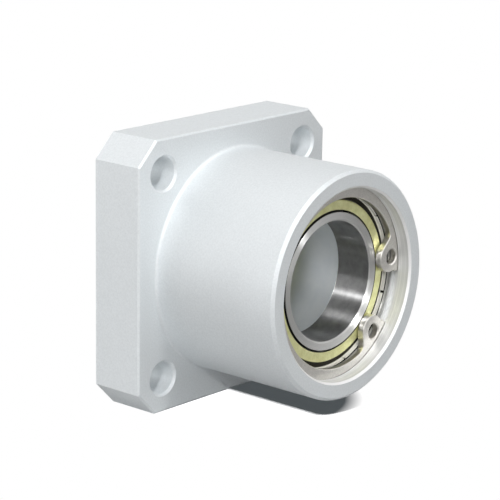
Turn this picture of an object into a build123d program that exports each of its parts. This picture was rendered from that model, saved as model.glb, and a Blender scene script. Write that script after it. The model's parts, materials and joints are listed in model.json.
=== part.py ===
from build123d import *
from math import asin, cos, degrees, radians, sin, sqrt, tan
import os

# Square bearing housing: a square flange with a round boss, bored right through. Each end of the
# bore holds a shielded ball bearing, kept in by an internal retaining ring in a groove.
# The bore axis is Y. The flange's rear mounting face is at y = 0 and the boss points along -Y.
# All sizes are in millimetres.

# Flange
flange_width = 46.0
flange_thickness = 10.0
flange_corner_chamfer = 4.0
flange_edge_chamfer = 0.3

# Mounting holes through the flange, each centred between the boss and a corner chamfer
hole_diameter = 5.5
hole_chamfer = 0.4

# Boss
boss_wall = 3.0
boss_length = 25.0
boss_root_fillet = 0.5
boss_rim_chamfer = 0.5

# Bore: a recess and a bearing seat in each end, and a narrower land between the two seats
mouth_chamfer = 0.35
recess_depth = 3.8
seat_clearance = 0.02
land_step = 1.5

# Bearing envelope
bearing_bore = 20.0
bearing_outside = 32.0
bearing_width = 7.0

# Balls, midway between the bearing's bore and its outside, and the races that they run in
ball_diameter = 3.5
ball_count = 13
race_clearance = 0.03
race_relief = 0.07
inner_race_depth = 0.28
outer_race_depth = 0.33

# Bearing ring edges
inner_bore_chamfer = 0.3
inner_face_chamfer = 0.12
outer_ring_chamfer = 0.45

# Shields: pressed sheet, with a flat plate, a step down to a channel, and an upright notched rim
shield_sheet = 0.2
shield_bend_radius = 0.14
shield_bore_gap = 0.25
shield_plate_depth = 0.2
shield_channel_width = 1.4
shield_channel_depth = 0.75
shield_step_run = 0.2
shield_recess = 0.3
shield_rim_clearance = 0.02
shield_notch_count = 13
shield_notch_width = 0.4
shield_notch_angle = -18.0
shield_mouth_chamfer = 0.3

# Cage: two ribbons with a cup over each ball, riveted together between the balls
cage_sheet = 0.3
cage_width = 1.3
cage_ball_clearance = 0.1
rivet_diameter = 0.5
rivet_head_diameter = 0.8
rivet_head_height = 0.15
rivet_clearance = 0.02

# Retaining rings: a spring band that narrows from its back to a holed lug at each side of its gap
ring_thickness = 1.2
ring_back_width = 3.6
ring_end_width = 1.6
ring_edge_chamfer = 0.1
ring_gap_half_angle = 16.0
lug_radius = 2.5
lug_height = 5.4
lug_flank_angle = 38.0
lug_fillet = 1.2
lug_hole_diameter = 2.5
lug_hole_offset = 0.4
lug_hole_chamfer = 0.2
ring_groove_depth = 0.85
ring_groove_play = 0.1
ring_groove_clearance = 0.03
front_ring_angle = -19.5
rear_ring_angle = -90.0

# Values worked out from those above, for the housing
total_length = flange_thickness + boss_length
boss_radius = bearing_outside / 2 + boss_wall
seat_radius = bearing_outside / 2 + seat_clearance
land_radius = bearing_outside / 2 - land_step
groove_radius = bearing_outside / 2 + ring_groove_depth
groove_width = ring_thickness + ring_groove_play
corner_distance = (flange_width - flange_corner_chamfer) / sqrt(2)
hole_spacing = (boss_radius + corner_distance) / sqrt(2)

# Values worked out for the bearings
half_width = bearing_width / 2
ball_radius = ball_diameter / 2
pitch_radius = (bearing_bore + bearing_outside) / 4
half_ball_angle = 180 / ball_count
race_radius = ball_radius + race_relief
inner_race_bottom = pitch_radius - ball_radius - race_clearance
outer_race_bottom = pitch_radius + ball_radius + race_clearance
inner_shoulder_radius = inner_race_bottom + inner_race_depth
outer_shoulder_radius = outer_race_bottom - outer_race_depth
cup_radius = ball_radius + cage_ball_clearance

# Values worked out for the shields, on the middle line of their sheet where they are named lines
shield_bore_radius = inner_shoulder_radius + shield_bore_gap
shield_recess_radius = outer_shoulder_radius + shield_recess
shield_seat_level = half_width - shield_channel_depth - shield_sheet
plate_line = half_width - shield_plate_depth - shield_sheet / 2
channel_line = half_width - shield_channel_depth - shield_sheet / 2
rim_line = shield_recess_radius - shield_rim_clearance - shield_sheet / 2
plate_edge = shield_recess_radius - shield_channel_width

# Values worked out for the retaining rings, whose inner circle is set towards the gap
ring_radius = groove_radius - ring_groove_clearance
ring_inner_radius = ring_radius - (ring_back_width + ring_end_width) / 2
ring_inner_offset = (ring_back_width - ring_end_width) / 2
gap_reach = 2 * groove_radius
gap_half_width = gap_reach * tan(radians(ring_gap_half_angle))
lug_centre = ring_radius - lug_height + lug_radius
lug_angle = ring_gap_half_angle + degrees(asin(lug_radius / lug_centre))
lug_neck = ring_radius - ring_end_width - lug_centre

# Each lug's flank on the band's side leaves the round end here, and widens to this out at the rim
flank_x = -lug_radius * sin(radians(lug_flank_angle))
flank_y = lug_radius * cos(radians(lug_flank_angle))
flank_width = flank_y + (lug_height - flank_x) * tan(radians(lug_flank_angle))

# The plane of each mouth faces out of the bore, with its own Y axis upwards
front_mouth = Plane.XZ.offset(total_length)
rear_mouth = Plane(origin=(0, 0, 0), x_dir=(-1, 0, 0), z_dir=(0, 1, 0))
ends = (
    ("front", front_mouth, front_ring_angle),
    ("rear", rear_mouth, rear_ring_angle),
)
facings = (("outside", 1), ("inside", -1))

# Circles whose radii are this close count as one size
radius_tolerance = 1e-6


def flipped(plane):
    """The same plane, facing the other way."""
    return Plane(origin=plane.origin, x_dir=plane.x_dir, z_dir=-plane.z_dir)


def section_of(plane):
    """The plane through the bore axis whose X is the radius and whose Y is that plane's facing."""
    return Plane(origin=plane.origin, x_dir=plane.x_dir, z_dir=-plane.y_dir)


def circles_of(radius):
    """The circular edges of that radius in the part being built."""
    circles = edges().filter_by(GeomType.CIRCLE)
    return circles.filter_by(lambda edge: abs(edge.radius - radius) < radius_tolerance)


def save(solid, name):
    """Label a finished piece and write it to its own file."""
    solid.label = name
    export_step(solid, f"parts/{name}.step")


os.makedirs("parts", exist_ok=True)

# Housing: flange, boss, stepped bore, ring grooves and mounting holes
with BuildPart() as housing:
    with BuildSketch(Plane.XZ):
        Rectangle(flange_width, flange_width)
        chamfer(vertices(), length=flange_corner_chamfer)
    extrude(amount=flange_thickness)
    chamfer(faces().filter_by(Axis.Y).edges(), length=flange_edge_chamfer)

    with BuildSketch(Plane.XZ.offset(flange_thickness)):
        Circle(boss_radius)
    extrude(amount=boss_length)
    fillet(circles_of(boss_radius).sort_by(Axis.Y)[-1], radius=boss_root_fillet)
    chamfer(circles_of(boss_radius).sort_by(Axis.Y)[0], length=boss_rim_chamfer)

    with BuildSketch(Plane.XZ):
        Circle(land_radius)
    extrude(amount=total_length, mode=Mode.SUBTRACT)
    for _, mouth, _ in ends:
        with BuildSketch(mouth):
            Circle(seat_radius)
        extrude(amount=-recess_depth - bearing_width, mode=Mode.SUBTRACT)
    seat_circles = circles_of(seat_radius).sort_by(Axis.Y)
    chamfer([seat_circles[0], seat_circles[-1]], length=mouth_chamfer)
    for _, mouth, _ in ends:
        with BuildSketch(mouth.offset(groove_width - recess_depth)):
            Circle(groove_radius)
        extrude(amount=-groove_width, mode=Mode.SUBTRACT)

    with Locations(Plane.XZ):
        with GridLocations(hole_spacing, hole_spacing, 2, 2):
            Hole(hole_diameter / 2)
    chamfer(circles_of(hole_diameter / 2), length=hole_chamfer)
save(housing.part, "housing")

for end, mouth, ring_angle in ends:
    middle = mouth.offset(-recess_depth - half_width)
    section = section_of(middle)

    # Retaining ring, with its gap on the sketch's X axis
    ring_face = mouth.offset(ring_thickness - recess_depth) * Rotation(0, 0, ring_angle)
    with BuildPart() as retaining_ring:
        with BuildSketch(ring_face):
            Circle(ring_radius)
            with Locations((ring_inner_offset, 0)):
                Circle(ring_inner_radius, mode=Mode.SUBTRACT)
            Polygon((0, 0), (gap_reach, -gap_half_width), (gap_reach, gap_half_width), align=None,
                    mode=Mode.SUBTRACT)
            for side in (1, -1):
                with PolarLocations(lug_centre, 1, start_angle=side * lug_angle):
                    Circle(lug_radius)
                    Polygon(
                        (0, -side * lug_radius),
                        (lug_height, -side * lug_radius),
                        (lug_height, side * flank_width),
                        (flank_x, side * flank_y),
                        align=None,
                    )
            Circle(ring_radius, mode=Mode.INTERSECT)
            corners = vertices().sort_by(Axis.Y)
            fillet([corners[0], corners[-1]], radius=min(lug_fillet, lug_neck))
            with PolarLocations(lug_centre + lug_hole_offset, 2, start_angle=-lug_angle,
                                angular_range=2 * lug_angle, endpoint=True):
                Circle(lug_hole_diameter / 2, mode=Mode.SUBTRACT)
        extrude(amount=-ring_thickness)
        outline = [face.outer_wire().edges() for face in faces().filter_by(Axis.Y)]
        chamfer(outline[0] + outline[1], length=ring_edge_chamfer)
        chamfer(circles_of(lug_hole_diameter / 2), length=lug_hole_chamfer)
    save(retaining_ring.part, f"{end}_retaining_ring")

    # Inner ring, with the shaft bore and the inner race
    with BuildPart() as inner_ring:
        with BuildSketch(section):
            with Locations((bearing_bore / 2, 0)):
                Rectangle(inner_shoulder_radius - bearing_bore / 2, bearing_width,
                          align=(Align.MIN, Align.CENTER))
            corners = vertices().group_by(Axis.X)
            chamfer(corners[0], length=inner_bore_chamfer)
            chamfer(corners[-1], length=inner_face_chamfer)
            with Locations((inner_race_bottom + race_radius, 0)):
                Circle(race_radius, mode=Mode.SUBTRACT)
        revolve(axis=Axis.Y)
    save(inner_ring.part, f"{end}_inner_ring")

    # Outer ring, with the outer race and a recess for each shield
    with BuildPart() as outer_ring:
        with BuildSketch(section):
            with Locations((bearing_outside / 2, 0)):
                Rectangle(bearing_outside / 2 - outer_shoulder_radius, bearing_width,
                          align=(Align.MAX, Align.CENTER))
            chamfer(vertices().group_by(Axis.X)[-1], length=outer_ring_chamfer)
            with Locations((outer_race_bottom - race_radius, 0)):
                Circle(race_radius, mode=Mode.SUBTRACT)
            for side in (1, -1):
                with BuildLine():
                    Polyline(
                        (outer_shoulder_radius - shield_sheet, side * shield_seat_level),
                        (shield_recess_radius, side * shield_seat_level),
                        (shield_recess_radius, side * (half_width - shield_mouth_chamfer)),
                        (shield_recess_radius + shield_mouth_chamfer, side * half_width),
                        (outer_shoulder_radius - shield_sheet, side * half_width),
                        close=True,
                    )
                make_face(mode=Mode.SUBTRACT)
        revolve(axis=Axis.Y)
    save(outer_ring.part, f"{end}_outer_ring")

    # Shields: the sheet's middle line is traced at its thickness and turned about the bore axis
    for side_name, facing in facings:
        shield_plane = middle if facing > 0 else flipped(middle)
        with BuildPart() as shield:
            with BuildSketch(section_of(shield_plane)):
                with BuildLine():
                    FilletPolyline(
                        (shield_bore_radius, plate_line),
                        (plate_edge, plate_line),
                        (plate_edge + shield_step_run, channel_line),
                        (rim_line, channel_line),
                        (rim_line, half_width - shield_plate_depth),
                        radius=shield_bend_radius,
                    )
                trace(line_width=shield_sheet)
            revolve(axis=Axis.Y)
            with BuildSketch(shield_plane.offset(half_width)):
                with PolarLocations(rim_line, shield_notch_count,
                                    start_angle=facing * shield_notch_angle):
                    Rectangle(2 * shield_sheet, shield_notch_width)
            extrude(amount=-shield_channel_depth, mode=Mode.SUBTRACT)
        save(shield.part, f"{end}_shield_{side_name}")

    # Cage halves: a flat ribbon with a cup over each ball, holed for the rivets
    for side_name, facing in facings:
        with BuildPart(middle if facing > 0 else flipped(middle)) as cage_half:
            with PolarLocations(pitch_radius, ball_count):
                Sphere(cup_radius + cage_sheet)
            Cylinder(pitch_radius + cage_width / 2, cage_sheet,
                     align=(Align.CENTER, Align.CENTER, Align.MIN))
            Cylinder(pitch_radius + cage_width / 2, cup_radius + cage_sheet,
                     align=(Align.CENTER, Align.CENTER, Align.MIN), mode=Mode.INTERSECT)
            Cylinder(pitch_radius - cage_width / 2, bearing_width, mode=Mode.SUBTRACT)
            with PolarLocations(pitch_radius, ball_count):
                Sphere(cup_radius, mode=Mode.SUBTRACT)
            with PolarLocations(pitch_radius, ball_count, start_angle=half_ball_angle):
                Hole(rivet_diameter / 2 + rivet_clearance)
        save(cage_half.part, f"{end}_cage_{side_name}")

    # Cage rivets, one between each two balls, with a head on each side
    with BuildPart(middle) as cage_rivets:
        with PolarLocations(pitch_radius, ball_count, start_angle=half_ball_angle):
            Cylinder(rivet_diameter / 2, 2 * cage_sheet)
            with Locations((0, 0, cage_sheet)):
                Cylinder(rivet_head_diameter / 2, rivet_head_height,
                         align=(Align.CENTER, Align.CENTER, Align.MIN))
            with Locations((0, 0, -cage_sheet)):
                Cylinder(rivet_head_diameter / 2, rivet_head_height,
                         align=(Align.CENTER, Align.CENTER, Align.MAX))
    save(cage_rivets.part, f"{end}_cage_rivets")

    # Balls
    for number in range(ball_count):
        with BuildPart(middle) as ball:
            with PolarLocations(pitch_radius, 1, start_angle=number * 360 / ball_count):
                Sphere(ball_radius)
        save(ball.part, f"{end}_ball_{number + 1:02d}")
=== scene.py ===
import json
import math
import bpy
from mathutils import Matrix, Vector


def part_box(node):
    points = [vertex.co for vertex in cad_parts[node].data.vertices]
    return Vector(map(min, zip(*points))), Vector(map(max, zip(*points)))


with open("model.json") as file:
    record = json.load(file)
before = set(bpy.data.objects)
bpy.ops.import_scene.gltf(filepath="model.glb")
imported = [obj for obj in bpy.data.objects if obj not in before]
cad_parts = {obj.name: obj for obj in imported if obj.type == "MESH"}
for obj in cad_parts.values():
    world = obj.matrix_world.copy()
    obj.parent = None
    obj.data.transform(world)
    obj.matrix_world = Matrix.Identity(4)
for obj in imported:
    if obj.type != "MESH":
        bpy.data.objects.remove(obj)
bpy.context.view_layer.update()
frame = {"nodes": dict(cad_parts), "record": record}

# Square bearing housing: bead-blasted aluminium round a shielded ball bearing in each end.
# The bore axis is Y, and the boss points along -Y. Lengths are in metres where they aren't
# said to be in millimetres.
MM = 0.001

# Camera, as the photograph was taken: a long lens from the front left, a little above
IMAGE_WIDTH = 500
SENSOR_WIDTH = 36.0
AIM = Vector((0.0, -17.0 * MM, 0.0))
CAMERA_AZIMUTH = math.radians(-49.273)
CAMERA_ELEVATION = math.radians(14.994)
CAMERA_ROLL = math.radians(1.034)
CAMERA_DISTANCE = 372.66 * MM
FOCAL_PIXELS = 2242.6
CENTRE_PIXEL = (265.43, 265.67)

# Places along the bore where the housing's look changes, in millimetres from its middle, the depth
# of the chamfer at its mouths, and how far short of the end faces the bore's wall stops
HALF_LENGTH = 17.5
HALF_LAND = 6.8
MOUTH_CHAMFER = 0.37
END_MARGIN = 0.01

# Radii where a look changes, in millimetres: everything within the first is the housing's bore, the
# second ends the polished shaft bore with its painted shade, and the third ends the inner ring's
# face, beyond which its edge at the shield is a near-black painted shade
BORE_EDGE = 17.0
SHAFT_EDGE = 10.02
SHOULDER_EDGE = 11.44

# Soft edges, each as the two radii between which a look changes, in millimetres: from the inner to
# the outer ring, from the outer ring's recess with its painted shade to its face, from the shield's
# inner edge with its painted shade to its plate, from there to its painted-shade channel, and from
# there to its rim with its painted highlight
OUTER_RING_EDGE = (13.0, 13.1)
RECESS_EDGE = (14.90, 14.94)
SHIELD_BORE_EDGE = (11.78, 11.84)
CHANNEL_EDGE = (13.40, 13.47)
RIM_EDGE = (14.35, 14.45)

# Noises, each as its waves per millimetre, detail and roughness, and the part of a noise's range
# over which the first of two colours turns into the second
BLASTED_GRAIN = (3.2, 3.0, 0.65)
LAND_CLOUD = (0.22, 3.0, 0.6)
SHAFT_BORE_CLOUD = (0.6, 4.0, 0.6)
ZINC_CLOUD = (0.7, 5.0, 0.7)
ZINC_GRAIN = (6.0, 2.0, 0.6)
TUMBLED_GRAIN = (4.0, 3.0, 0.6)
TURNED_LINES = (1.4, 3.0, 0.6)
GROUND_LINES = (9.0, 3.0, 0.6)
BALL_LINES = (2.0, 3.0, 0.6)
NOISE_RANGE = (0.3, 0.7)

# Colours: a pair is mixed by a noise, and the rest are plain
BLASTED = ((0.735, 0.765, 0.78), (0.815, 0.845, 0.86))
TURNED = ((0.64, 0.65, 0.65), (0.96, 0.965, 0.96))
# The land is the housing's own aluminium, made paler as painted light where little light reaches
LAND_PAINTED_LIGHT = ((0.82, 0.87, 0.92), (0.93, 0.97, 1.0))
# The mouth chamfer's near-white is partly its cut finish and partly a painted highlight
MOUTH_CUT_AND_HIGHLIGHT = (0.95, 0.95, 0.95)
RING_FACE = ((0.62, 0.62, 0.61), (0.76, 0.76, 0.745))
# Painted shade: the shaft bore is the same steel as the ring's face, darkened to stand for its dark
# reflections
SHAFT_BORE_PAINTED_SHADE = ((0.25, 0.25, 0.25), (0.37, 0.37, 0.37))
# Painted shade: the inner ring's near-black edge at the shield stands for the shade in the gap
PAINTED_GAP_SHADE = (0.02, 0.02, 0.02)
# Painted shade: the outer ring's face is the same steel, darker than the inner ring's face
OUTER_FACE_PAINTED_SHADE = (0.39, 0.39, 0.37)
# Painted shade: the outer ring's recess is near-black where shade falls
PAINTED_RECESS_SHADE = (0.015, 0.014, 0.012)
ZINC = ((0.74, 0.73, 0.33), (0.96, 0.96, 0.55))
# Painted shade: near-black at the shield's inner edge, for the shade in the gap by the inner ring
PAINTED_SHIELD_EDGE_SHADE = (0.02, 0.02, 0.015)
# Painted shade: near-black in the shield's channel, where shade falls
PAINTED_CHANNEL_SHADE = (0.02, 0.018, 0.01)
# The rim's near-white is partly its own bright finish and partly a painted highlight
SHIELD_RIM_AND_HIGHLIGHT = (0.95, 0.93, 0.85)
BALL = ((0.66, 0.66, 0.67), (0.72, 0.72, 0.73))
CAGE = ((0.52, 0.52, 0.52), (0.62, 0.62, 0.62))
SPRING = ((0.63, 0.61, 0.575), (0.76, 0.74, 0.70))
WHITE = (1.0, 1.0, 1.0, 1.0)

# Roughness: a pair is the range that a noise fills
BLASTED_ROUGHNESS = (0.56, 0.66)
TURNED_ROUGHNESS = (0.42, 0.50)
LAND_ROUGHNESS = 0.5
GROUND_ROUGHNESS = (0.38, 0.44)
POLISHED_ROUGHNESS = 0.3
BALL_ROUGHNESS = (0.09, 0.15)
ZINC_ROUGHNESS = (0.28, 0.42)
TUMBLED_ROUGHNESS = (0.26, 0.38)

# Metallic shares, with the shield's as that of its plate and that of its rim
HOUSING_METALLIC = 0.45
LAND_METALLIC = 0.4
STEEL_METALLIC = 1.0
SHIELD_METALLIC = (0.7, 0.1)
TUMBLED_METALLIC = 0.95

# How far, and which way, the rings' reflections are drawn out
ANISOTROPY = 1.0
ANISOTROPY_TURN = 0.25

# Bumps: strength, and distance in millimetres
HOUSING_BUMP = (0.32, 0.02)
ZINC_BUMP = (0.15, 0.01)
TUMBLED_BUMP = (0.2, 0.01)

# Lamps: name, azimuth and elevation in degrees, size in metres, power in watts. All stand at the
# same distance from the aim point
LAMP_DISTANCE = 0.6
SOFT_BOXES = (
    ("camera_side", -50.0, 19.0, 0.4, 0.62),
    ("front_top", -22.0, 63.0, 0.12, 1.4),
    ("front_right_top", 15.0, 50.0, 0.4, 0.2),
    ("left_high", -100.0, 60.0, 0.5, 0.22),
    ("left_small", -60.7, 30.7, 0.03, 1.05),
    ("right", 80.0, 12.0, 0.5, 0.22),
    ("back", 175.0, 35.0, 0.5, 0.27),
    ("back_left", -143.0, 4.0, 0.3, 0.4),
)

# The lamp that shines on the housing alone, through the rear shaft bore onto the land
LAND_LAMP = ("through_bore", -168.0, 0.0, 0.1, 1.0)

# Small lamps whose reflections run as bright streaks along the front inner ring's shaft bore
STREAK_LAMPS = (
    ("sharp_streak", -60.7, 30.7, 0.015, 2.1),
    ("soft_streak", -12.0, 46.0, 0.08, 1.15),
)

# The floor lies under the flange's lower edge
FLOOR_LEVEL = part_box("housing")[0].z
FLOOR_HALF_WIDTH = 3.0
FLOOR_ROUGHNESS = 0.9

# Grey and specular level of the floor that the camera sees, and of the one that reflects light
SHOWN_FLOOR = (0.9, 0.0)
REFLECTING_FLOOR = (0.6, 0.1)

# The lamp that lights the shown floor alone and casts the shadow, the place round which the shadow
# shows, the distances from there between which the floor turns to plain white, and the colour and
# level of the floor's own glow within them, which keeps the shadow from turning black
SHADOW_LAMP = ("shadow_lamp", -60.7, 30.7, 0.03, 9.5)
SHADOW_CENTRE = (-1.0 * MM, -15.0 * MM, FLOOR_LEVEL)
SHADOW_FADE = (0.016, 0.019)
SHADOW_COLOUR = (0.82, 0.94, 1.0, 1.0)
SHADOW_LEVEL = 0.085

# How bright the white world is in reflections, where it is 1 to the camera
WORLD_REFLECTED = 0.9

# The name of a material's output node, and the sockets of the Mix node: as inputs its factor, two
# numbers and two colours, and as outputs the mixed number and the mixed colour
MATERIAL_OUTPUT = "material_output"
MIX_FACTOR, MIX_NUMBER_1, MIX_NUMBER_2, MIX_COLOUR_1, MIX_COLOUR_2 = 0, 2, 3, 6, 7
MIXED_NUMBER, MIXED_COLOUR = 0, 2


def set_inputs(tree, node, inputs):
    """Links the node's inputs to sockets, or sets them to values."""
    for key, value in inputs.items():
        if isinstance(value, bpy.types.NodeSocket):
            tree.links.new(value, node.inputs[key])
        else:
            node.inputs[key].default_value = value


def add_node(tree, kind, inputs=None, **settings):
    """A node with its settings, and its inputs set to values or linked to sockets."""
    node = tree.nodes.new(kind)
    for name, value in settings.items():
        setattr(node, name, value)
    set_inputs(tree, node, inputs or {})
    return node


def new_material(name):
    """A material whose surface is one Principled shader, with its node tree and that shader."""
    material = bpy.data.materials.new(name)
    material.use_nodes = True
    tree = material.node_tree
    tree.nodes.clear()
    shader = add_node(tree, "ShaderNodeBsdfPrincipled")
    add_node(tree, "ShaderNodeOutputMaterial", {"Surface": shader.outputs[0]}, name=MATERIAL_OUTPUT)
    return material, tree, shader


def object_coordinates(tree):
    """The place on the object, in millimetres."""
    place = add_node(tree, "ShaderNodeTexCoord")
    scaled = add_node(tree, "ShaderNodeVectorMath", {
        0: place.outputs["Object"], 1: (1.0 / MM,) * 3}, operation="MULTIPLY")
    return scaled.outputs[0]


def noise(tree, coordinates, scale, detail, roughness):
    """A noise of that many waves per millimetre."""
    node = add_node(tree, "ShaderNodeTexNoise", {
        "Vector": coordinates, "Scale": scale, "Detail": detail, "Roughness": roughness})
    return node.outputs["Fac"]


def between(tree, factor, low, high, start=0.0, end=1.0):
    """The factor's range start to end, carried over to low to high."""
    node = add_node(tree, "ShaderNodeMapRange", {
        "Value": factor, "From Min": start, "From Max": end, "To Min": low, "To Max": high})
    return node.outputs[0]


def mixed(tree, share, first, second):
    """The first colour where the share is 0, and the second where it is 1."""
    first, second = (
        colour if isinstance(colour, bpy.types.NodeSocket) else (*colour, 1.0)
        for colour in (first, second))
    node = add_node(tree, "ShaderNodeMix", {
        MIX_FACTOR: share, MIX_COLOUR_1: first, MIX_COLOUR_2: second}, data_type="RGBA")
    return node.outputs[MIXED_COLOUR]


def mixed_value(tree, share, first, second):
    """The first value where the share is 0, and the second where it is 1."""
    node = add_node(tree, "ShaderNodeMix", {
        MIX_FACTOR: share, MIX_NUMBER_1: first, MIX_NUMBER_2: second})
    return node.outputs[MIXED_NUMBER]


def mottled(tree, pattern, dark, light):
    """Two colours, mixed by a noise."""
    return mixed(tree, between(tree, pattern, 0.0, 1.0, *NOISE_RANGE), dark, light)


def rising(tree, radius, start, end):
    """A mask that is 0 within the first radius and 1 beyond the second."""
    return between(tree, radius, 0.0, 1.0, start, end)


def falling(tree, radius, start, end):
    """A mask that is 1 within the first radius and 0 beyond the second."""
    return between(tree, radius, 1.0, 0.0, start, end)


def arithmetic(tree, operation, first, second=0.0):
    """One sum on two sockets or numbers."""
    return add_node(tree, "ShaderNodeMath", {0: first, 1: second}, operation=operation).outputs[0]


def bumped(tree, shader, height, strength, distance):
    """Gives the shader a bump of that height, with the distance in millimetres."""
    node = add_node(tree, "ShaderNodeBump", {
        "Height": height, "Strength": strength, "Distance": distance * MM})
    set_inputs(tree, shader, {"Normal": node.outputs[0]})


def cylinder_coordinates(tree, coordinates):
    """The radius from the bore axis, and the depth along it, in millimetres."""
    parts = add_node(tree, "ShaderNodeSeparateXYZ", {0: coordinates})
    flat = add_node(tree, "ShaderNodeCombineXYZ", {
        0: parts.outputs[0], 1: 0.0, 2: parts.outputs[2]})
    radius = add_node(tree, "ShaderNodeVectorMath", {0: flat.outputs[0]}, operation="LENGTH")
    return radius.outputs["Value"], parts.outputs[1]


def turning_marks(tree, coordinates, scale, detail, roughness):
    """Fine lines round the bore axis, as a lathe or grinder leaves them."""
    radius, depth = cylinder_coordinates(tree, coordinates)
    place = add_node(tree, "ShaderNodeCombineXYZ", {0: radius, 1: depth, 2: 0.0})
    return noise(tree, place.outputs[0], scale, detail, roughness)


def bore_zones(tree, coordinates):
    """Masks on the housing: its bore's wall, the land in its middle (painted light) and its mouths
    (painted highlight).
    """
    radius, depth = cylinder_coordinates(tree, coordinates)
    near_axis = arithmetic(tree, "LESS_THAN", radius, BORE_EDGE)
    from_middle = arithmetic(tree, "ABSOLUTE", arithmetic(tree, "ADD", depth, HALF_LENGTH))
    between_ends = arithmetic(tree, "LESS_THAN", from_middle, HALF_LENGTH - END_MARGIN)
    wall = arithmetic(tree, "MULTIPLY", near_axis, between_ends)
    land = arithmetic(tree, "LESS_THAN", from_middle, HALF_LAND)
    mouth_with_highlight = arithmetic(tree, "GREATER_THAN", from_middle, HALF_LENGTH - MOUTH_CHAMFER)
    return (
        wall,
        arithmetic(tree, "MULTIPLY", wall, land),
        arithmetic(tree, "MULTIPLY", wall, mouth_with_highlight),
    )


def blasted_aluminium():
    """Fine bead-blasted and clear-anodised aluminium, turned in the bore, with a smoother land made
    paler as painted light, and a mouth chamfer made near-white, partly its cut finish and partly a
    painted highlight.
    """
    material, tree, shader = new_material("anodised_aluminium")
    place = object_coordinates(tree)
    grain = noise(tree, place, *BLASTED_GRAIN)
    lines = turning_marks(tree, place, *TURNED_LINES)
    cloud = noise(tree, place, *LAND_CLOUD)
    wall, land, mouth_with_highlight = bore_zones(tree, place)
    turned = mixed(tree, mouth_with_highlight, mottled(tree, lines, *TURNED), MOUTH_CUT_AND_HIGHLIGHT)
    colour = mixed(tree, wall, mottled(tree, grain, *BLASTED), turned)
    rough = between(tree, grain, *BLASTED_ROUGHNESS)
    smooth = between(tree, lines, *TURNED_ROUGHNESS)
    roughness = mixed_value(tree, wall, rough, smooth)
    set_inputs(tree, shader, {
        "Base Color": mixed(tree, land, colour, mottled(tree, cloud, *LAND_PAINTED_LIGHT)),
        "Metallic": mixed_value(tree, land, HOUSING_METALLIC, LAND_METALLIC),
        "Roughness": mixed_value(tree, land, roughness, LAND_ROUGHNESS),
    })
    bumped(tree, shader, mixed_value(tree, wall, grain, lines), *HOUSING_BUMP)
    return material


def ring_steel():
    """Ground bearing steel, polished in the shaft bore. Painted shade darkens the shaft bore and
    the outer ring's face, and makes the outer ring's recess and the inner ring's edge at the shield
    nearly black."""
    material, tree, shader = new_material("bearing_steel")
    place = object_coordinates(tree)
    radius, _ = cylinder_coordinates(tree, place)
    lines = turning_marks(tree, place, *GROUND_LINES)
    face = mottled(tree, lines, *RING_FACE)
    # The shaft bore's darker colour, the near-black edge at the shield, the outer ring's darker
    # face and its near-black recess are painted shade
    shaft_bore_shade = mottled(tree, noise(tree, place, *SHAFT_BORE_CLOUD), *SHAFT_BORE_PAINTED_SHADE)
    polished = arithmetic(tree, "LESS_THAN", radius, SHAFT_EDGE)
    gap_shade = arithmetic(tree, "GREATER_THAN", radius, SHOULDER_EDGE)
    inner = mixed(tree, gap_shade, mixed(tree, polished, face, shaft_bore_shade), PAINTED_GAP_SHADE)
    outer = mixed(tree, falling(tree, radius, *RECESS_EDGE), OUTER_FACE_PAINTED_SHADE, PAINTED_RECESS_SHADE)
    ground = between(tree, lines, *GROUND_ROUGHNESS)
    round_axis = add_node(tree, "ShaderNodeTangent", direction_type="RADIAL", axis="Y")
    set_inputs(tree, shader, {
        "Base Color": mixed(tree, rising(tree, radius, *OUTER_RING_EDGE), inner, outer),
        "Metallic": STEEL_METALLIC,
        "Roughness": mixed_value(tree, polished, ground, POLISHED_ROUGHNESS),
        "Anisotropic": ANISOTROPY,
        "Anisotropic Rotation": ANISOTROPY_TURN,
        "Tangent": round_axis.outputs[0],
    })
    return material


def ball_steel():
    """Hard steel with fine ground lines."""
    material, tree, shader = new_material("ball_steel")
    lines = turning_marks(tree, object_coordinates(tree), *BALL_LINES)
    set_inputs(tree, shader, {
        "Base Color": mottled(tree, lines, *BALL),
        "Metallic": STEEL_METALLIC,
        "Roughness": between(tree, lines, *BALL_ROUGHNESS),
    })
    return material


def zinc_shield():
    """Pressed sheet with a pale yellowish zinc finish. Painted shade makes it nearly black at its
    inner edge and in its channel, and its rim is near-white, partly its own bright finish and
    partly a painted highlight."""
    material, tree, shader = new_material("shield_steel")
    place = object_coordinates(tree)
    radius, _ = cylinder_coordinates(tree, place)
    cloud = noise(tree, place, *ZINC_CLOUD)
    grain = noise(tree, place, *ZINC_GRAIN)
    # Masks for the painted shade at the inner edge and in the channel, and for the rim with its
    # painted highlight
    inner_edge_shade = falling(tree, radius, *SHIELD_BORE_EDGE)
    channel_shade = rising(tree, radius, *CHANNEL_EDGE)
    rim_with_highlight = rising(tree, radius, *RIM_EDGE)
    plate = mixed(tree, inner_edge_shade, mottled(tree, cloud, *ZINC), PAINTED_SHIELD_EDGE_SHADE)
    set_inputs(tree, shader, {
        "Base Color": mixed(tree, rim_with_highlight, mixed(tree, channel_shade, plate, PAINTED_CHANNEL_SHADE), SHIELD_RIM_AND_HIGHLIGHT),
        "Metallic": between(tree, rim_with_highlight, *SHIELD_METALLIC),
        "Roughness": between(tree, grain, *ZINC_ROUGHNESS),
    })
    bumped(tree, shader, grain, *ZINC_BUMP)
    return material


def tumbled_steel(name, dark, light):
    """Stamped and tumbled steel."""
    material, tree, shader = new_material(name)
    grain = noise(tree, object_coordinates(tree), *TUMBLED_GRAIN)
    set_inputs(tree, shader, {
        "Base Color": mottled(tree, grain, dark, light),
        "Metallic": TUMBLED_METALLIC,
        "Roughness": between(tree, grain, *TUMBLED_ROUGHNESS),
    })
    bumped(tree, shader, grain, *TUMBLED_BUMP)
    return material


def dress(node, material):
    """Gives a CAD node its material."""
    slots = frame["nodes"][node].data.materials
    slots.clear()
    slots.append(material)


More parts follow.
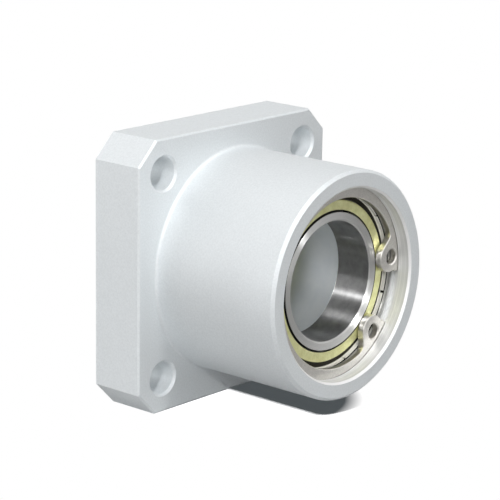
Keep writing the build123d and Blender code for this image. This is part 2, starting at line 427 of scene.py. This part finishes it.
def direction(azimuth, elevation):
    """The unit vector at those angles from the aim point. Azimuth 0 is in front."""
    return Vector((
        math.sin(azimuth) * math.cos(elevation),
        -math.cos(azimuth) * math.cos(elevation),
        math.sin(elevation),
    ))


def place_camera():
    """A camera at the photograph's viewing angle, with its frame's centre and size."""
    back = direction(CAMERA_AZIMUTH, CAMERA_ELEVATION)
    right = Vector((math.cos(CAMERA_AZIMUTH), math.sin(CAMERA_AZIMUTH), 0.0))
    up = back.cross(right)
    rolled_right = math.cos(CAMERA_ROLL) * right + math.sin(CAMERA_ROLL) * up
    rolled_up = math.cos(CAMERA_ROLL) * up - math.sin(CAMERA_ROLL) * right
    data = bpy.data.cameras.new("camera")
    data.sensor_width = SENSOR_WIDTH
    data.lens = FOCAL_PIXELS / IMAGE_WIDTH * SENSOR_WIDTH
    data.shift_x = (IMAGE_WIDTH / 2 - CENTRE_PIXEL[0]) / IMAGE_WIDTH
    data.shift_y = (CENTRE_PIXEL[1] - IMAGE_WIDTH / 2) / IMAGE_WIDTH
    camera = bpy.data.objects.new("camera", data)
    axes = Matrix((rolled_right, rolled_up, back)).transposed().to_4x4()
    camera.matrix_world = Matrix.Translation(AIM + CAMERA_DISTANCE * back) @ axes
    bpy.context.scene.collection.objects.link(camera)
    bpy.context.scene.camera = camera


def area_light(name, azimuth, elevation, size, energy):
    """A square lamp that faces the aim point. Its angles are in degrees, with 90 to the right."""
    data = bpy.data.lights.new(name, "AREA")
    data.size = size
    data.energy = energy
    light = bpy.data.objects.new(name, data)
    back = direction(math.radians(azimuth), math.radians(elevation))
    light.location = AIM + LAMP_DISTANCE * back
    light.rotation_euler = back.to_track_quat("Z", "Y").to_euler()
    bpy.context.scene.collection.objects.link(light)
    return light


def light_linked(light, receiver, state):
    """Lets the light fall on that object alone, or on all but that object."""
    group = bpy.data.collections.new(f"{light.name}_receivers")
    group.objects.link(receiver)
    group.collection_objects[0].light_linking.link_state = state
    light.light_linking.receiver_collection = group


def new_floor(name, grey, specular):
    """A wide matt plane under the object, with its material's node tree and shader."""
    material, tree, shader = new_material(name)
    set_inputs(tree, shader, {
        "Base Color": (grey, grey, grey, 1.0),
        "Roughness": FLOOR_ROUGHNESS,
        "Specular IOR Level": specular,
    })
    corners = [
        (x * FLOOR_HALF_WIDTH, y * FLOOR_HALF_WIDTH, FLOOR_LEVEL)
        for x, y in ((-1, -1), (1, -1), (1, 1), (-1, 1))]
    mesh = bpy.data.meshes.new(name)
    mesh.from_pydata(corners, [], [(0, 1, 2, 3)])
    mesh.materials.append(material)
    floor = bpy.data.objects.new(name, mesh)
    bpy.context.scene.collection.objects.link(floor)
    return floor, tree, shader


def shown_floor():
    """The floor that the camera sees: it keeps the shadow close to the object, and is plain white
    further out."""
    floor, tree, shader = new_floor("floor_shown", *SHOWN_FLOOR)
    set_inputs(tree, shader, {"Emission Color": SHADOW_COLOUR, "Emission Strength": SHADOW_LEVEL})
    white = add_node(tree, "ShaderNodeEmission", {"Color": WHITE, "Strength": 1.0})
    place = add_node(tree, "ShaderNodeTexCoord")
    distance = add_node(tree, "ShaderNodeVectorMath", {
        0: place.outputs["Object"], 1: SHADOW_CENTRE}, operation="DISTANCE")
    fade = rising(tree, distance.outputs["Value"], *SHADOW_FADE)
    shown = add_node(tree, "ShaderNodeMixShader", {
        0: fade, 1: shader.outputs[0], 2: white.outputs[0]})
    set_inputs(tree, tree.nodes[MATERIAL_OUTPUT], {"Surface": shown.outputs[0]})
    for ray in ("visible_diffuse", "visible_glossy", "visible_transmission", "visible_shadow"):
        setattr(floor, ray, False)
    return floor


def reflecting_floor():
    """The same floor for the light that it throws back at the object, not seen by the camera. It
    casts no shadow, because it would keep the shadow lamp from the floor that is shown."""
    floor, _, _ = new_floor("floor_reflecting", *REFLECTING_FLOOR)
    floor.visible_camera = False
    floor.visible_shadow = False


def white_world():
    """White to the camera, a little less in reflections, and no light on the object otherwise."""
    world = bpy.data.worlds.new("studio")
    bpy.context.scene.world = world
    world.use_nodes = True
    tree = world.node_tree
    tree.nodes.clear()
    rays = add_node(tree, "ShaderNodeLightPath")
    white = add_node(tree, "ShaderNodeBackground", {"Color": WHITE, "Strength": 1.0})
    glossy = add_node(tree, "ShaderNodeBackground", {"Color": WHITE, "Strength": WORLD_REFLECTED})
    reflected = add_node(tree, "ShaderNodeMixShader", {
        0: rays.outputs["Is Glossy Ray"], 2: glossy.outputs[0]})
    shown = add_node(tree, "ShaderNodeMixShader", {
        0: rays.outputs["Is Camera Ray"], 1: reflected.outputs[0], 2: white.outputs[0]})
    add_node(tree, "ShaderNodeOutputWorld", {"Surface": shown.outputs[0]})


MATERIALS = {
    "anodised_aluminium": blasted_aluminium(),
    "bearing_steel": ring_steel(),
    "ball_steel": ball_steel(),
    "shield_steel": zinc_shield(),
    "cage_steel": tumbled_steel("cage_steel", *CAGE),
    "spring_steel": tumbled_steel("spring_steel", *SPRING),
}
for part in frame["record"]["subparts"]:
    dress(part["node"], MATERIALS[part["material_slot"]])

place_camera()
floor = shown_floor()
reflecting_floor()
white_world()
for soft_box in SOFT_BOXES:
    light_linked(area_light(*soft_box), floor, "EXCLUDE")
light_linked(area_light(*SHADOW_LAMP), floor, "INCLUDE")
light_linked(area_light(*LAND_LAMP), frame["nodes"]["housing"], "INCLUDE")
for streak_lamp in STREAK_LAMPS:
    light_linked(area_light(*streak_lamp), frame["nodes"]["front_inner_ring"], "INCLUDE")

bpy.context.scene.view_settings.view_transform = "Standard"
